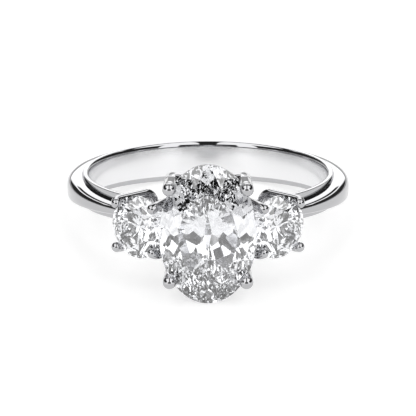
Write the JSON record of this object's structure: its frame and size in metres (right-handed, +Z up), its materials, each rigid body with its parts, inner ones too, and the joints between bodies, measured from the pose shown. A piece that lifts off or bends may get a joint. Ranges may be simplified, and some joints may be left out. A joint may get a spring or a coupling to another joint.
{
  "type": "three stone ring",
  "caption": "Polished white metal ring with a large oval stone between smaller round stones, in open ball-ended prong heads on a plain stepped band.",
  "frame": {"origin": "centre of the footprint, on the surface that the ring lies on", "axes": "+Z up, the finger hole's axis leans back from it by 8 degrees; the stones point towards -Y; +X to the right of a viewer who faces the stones"},
  "size_m": [0.0202, 0.026, 0.0094],
  "materials": {
    "white_gold": "high polish",
    "diamond": "cut and polished"
  },
  "bodies": {
    "root": {"mounting": "white_gold", "centre_stone": "diamond", "left_stone": "diamond", "right_stone": "diamond"}
  },
  "joints": []
}
